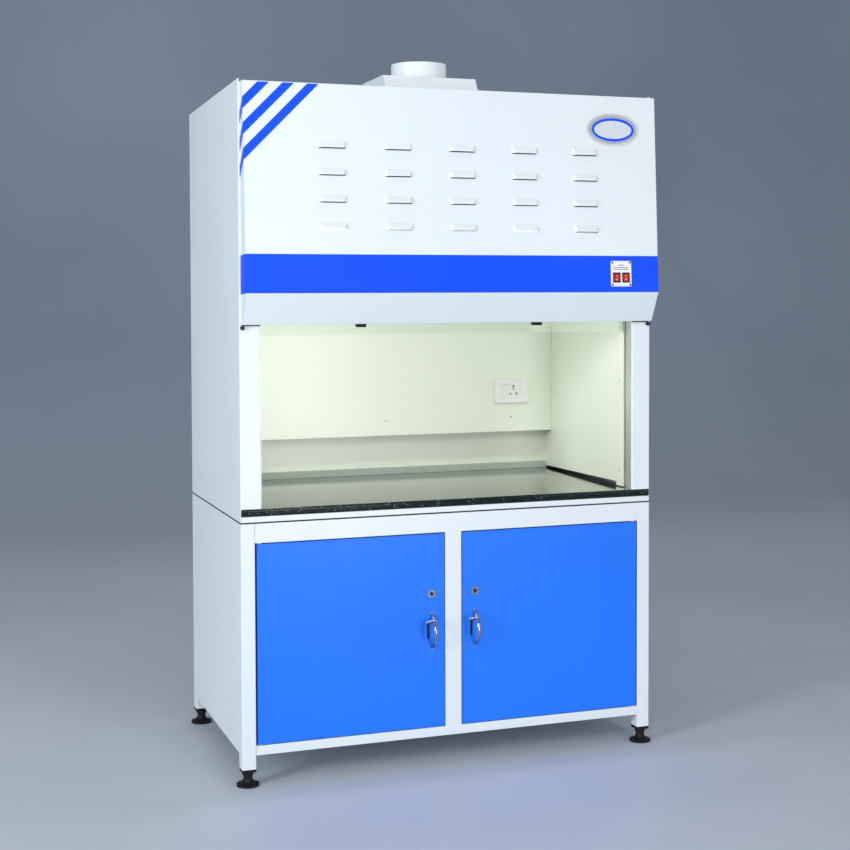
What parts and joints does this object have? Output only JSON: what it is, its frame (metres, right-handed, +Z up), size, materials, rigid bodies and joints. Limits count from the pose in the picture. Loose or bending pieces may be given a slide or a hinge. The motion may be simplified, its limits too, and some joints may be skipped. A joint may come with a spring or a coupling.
{
  "type": "fume exhaust hood",
  "caption": "Ducted fume exhaust hood on a base cabinet, with a counterbalanced glass sash, a lined work chamber, a sloped louvred fascia and two hinged, locking doors.",
  "frame": {"origin": "on the floor, under the middle of the hood's outline", "axes": "+Z up, +X to the right as seen by the user, +Y to the rear"},
  "size_m": [1.222, 0.74, 1.963],
  "materials": {
    "white_paint": "satin",
    "blue_paint": "satin",
    "blue_film": "gloss",
    "black_rubber": "matt",
    "black_plastic": "matt",
    "granite": "polished",
    "liner_panel": "satin",
    "bright_metal": "polished",
    "steel": "brushed",
    "aluminium_track": "satin",
    "sash_glass": "clear",
    "white_plastic": "gloss",
    "lamp_lens": "opal",
    "red_plastic": "gloss"
  },
  "bodies": {
    "cabinet_body": {"legs": "white_paint", "base_rails": "white_paint", "apron": "white_paint", "centre_post": "white_paint", "base_side_panels": "white_paint", "base_back_panel": "white_paint", "cabinet_floor": "white_paint", "worktop_frame": "white_paint", "side_panel_left": "white_paint", "side_panel_right": "white_paint", "hood_back_panel": "white_paint", "roof": "white_paint", "head_rail": "white_paint", "fascia": "white_paint", "duct_plinth": "white_paint", "duct_spigot": "white_paint", "lamp_housing": "white_paint", "blue_film": "blue_film", "seam_gasket": "black_rubber", "sash_bumpers": "black_rubber", "leg_inserts": "black_plastic", "switch_bezels": "black_plastic", "plate_screws": "black_plastic", "worktop": "granite", "chamber_liners": "liner_panel", "baffle": "liner_panel", "chamber_ceiling": "liner_panel", "hinge_pins": "steel", "screws": "steel", "fan_casing": "steel", "sash_tracks": "aluminium_track", "oval_plate": "aluminium_track", "switch_plate": "white_plastic", "socket_outlet": "white_plastic", "lamp_lens": "lamp_lens"},
    "foot_front_left_body": {"foot_front_left": "black_plastic"},
    "foot_front_right_body": {"foot_front_right": "black_plastic"},
    "foot_rear_left_body": {"foot_rear_left": "black_plastic"},
    "foot_rear_right_body": {"foot_rear_right": "black_plastic"},
    "door_left_body": {"door_left": "blue_paint", "lock_barrel_left": "bright_metal", "handle_left": "bright_metal", "keys_left": "steel"},
    "door_right_body": {"door_right": "blue_paint", "lock_barrel_right": "bright_metal", "handle_right": "bright_metal", "keys_right": "steel"},
    "lock_left_body": {"lock_cam_left": "steel"},
    "lock_right_body": {"lock_cam_right": "steel"},
    "sash_body": {"sash_glass": "sash_glass", "sash_stiles": "aluminium_track", "sash_pulls": "black_plastic"},
    "counterweight_left_body": {"counterweight_left": "steel"},
    "counterweight_right_body": {"counterweight_right": "steel"},
    "pulley_left_body": {"pulley_left": "aluminium_track"},
    "pulley_right_body": {"pulley_right": "aluminium_track"},
    "switch_light_body": {"switch_light": "red_plastic"},
    "switch_fan_body": {"switch_fan": "red_plastic"},
    "socket_rocker_body": {"socket_rocker": "white_plastic"},
    "impeller_body": {"fan_impeller": "black_plastic"}
  },
  "joints": [
    {"name": "sash", "type": "slide", "parent": "cabinet_body", "child": "sash_body", "axis": [0, 0, -1], "range_m": [0, 0.4515]},
    {"name": "counterweight_left", "type": "slide", "parent": "cabinet_body", "child": "counterweight_left_body", "axis": [0, 0, 1], "range_m": [0, 0.4515]},
    {"name": "counterweight_right", "type": "slide", "parent": "cabinet_body", "child": "counterweight_right_body", "axis": [0, 0, 1], "range_m": [0, 0.4515]},
    {"name": "pulley_left", "type": "hinge", "parent": "cabinet_body", "child": "pulley_left_body", "pos_m": [-0.5605, -0.26398, 1.79], "axis": [0, 1, 0], "continuous": true},
    {"name": "pulley_right", "type": "hinge", "parent": "cabinet_body", "child": "pulley_right_body", "pos_m": [0.5605, -0.26398, 1.79], "axis": [0, -1, 0], "continuous": true},
    {"name": "door_left", "type": "hinge", "parent": "cabinet_body", "child": "door_left_body", "pos_m": [-0.549, -0.29898, 0.377], "axis": [0, 0, -1], "range_deg": [0, 105]},
    {"name": "lock_left", "type": "hinge", "parent": "door_left_body", "child": "lock_left_body", "pos_m": [-0.0688, -0.30698, 0.4785], "axis": [0, -1, 0], "range_deg": [0, 90]},
    {"name": "door_right", "type": "hinge", "parent": "cabinet_body", "child": "door_right_body", "pos_m": [0.549, -0.29898, 0.377], "axis": [0, 0, 1], "range_deg": [0, 105]},
    {"name": "lock_right", "type": "hinge", "parent": "door_right_body", "child": "lock_right_body", "pos_m": [0.0588, -0.30698, 0.4785], "axis": [0, 1, 0], "range_deg": [0, 90]},
    {"name": "switch_light", "type": "hinge", "parent": "cabinet_body", "child": "switch_light_body", "pos_m": [0.4637, -0.36609, 1.34462], "axis": [-1, 0, 0], "range_deg": [0, 14]},
    {"name": "switch_fan", "type": "hinge", "parent": "cabinet_body", "child": "switch_fan_body", "pos_m": [0.4923, -0.36609, 1.34462], "axis": [-1, 0, 0], "range_deg": [0, 14]},
    {"name": "socket_rocker", "type": "hinge", "parent": "cabinet_body", "child": "socket_rocker_body", "pos_m": [0.3777, 0.24352, 0.9916], "axis": [-1, 0, 0], "range_deg": [0, 8]},
    {"name": "impeller", "type": "hinge", "parent": "cabinet_body", "child": "impeller_body", "pos_m": [0, -0.01798, 1.66], "axis": [0, 0, 1], "continuous": true},
    {"name": "foot_front_left", "type": "hinge", "parent": "cabinet_body", "child": "foot_front_left_body", "pos_m": [-0.581, -0.28798, 0.03], "axis": [0, 0, 1], "continuous": true},
    {"name": "foot_rear_left", "type": "hinge", "parent": "cabinet_body", "child": "foot_rear_left_body", "pos_m": [-0.581, 0.34002, 0.03], "axis": [0, 0, 1], "continuous": true},
    {"name": "foot_front_right", "type": "hinge", "parent": "cabinet_body", "child": "foot_front_right_body", "pos_m": [0.581, -0.28798, 0.03], "axis": [0, 0, 1], "continuous": true},
    {"name": "foot_rear_right", "type": "hinge", "parent": "cabinet_body", "child": "foot_rear_right_body", "pos_m": [0.581, 0.34002, 0.03], "axis": [0, 0, 1], "continuous": true}
  ],
  "couplings": [
    {"joint": "counterweight_left", "follows": "sash", "ratio": 1},
    {"joint": "counterweight_right", "follows": "sash", "ratio": 1},
    {"joint": "pulley_left", "follows": "sash", "rad_per_m": 51.282},
    {"joint": "pulley_right", "follows": "sash", "rad_per_m": 51.282}
  ]
}
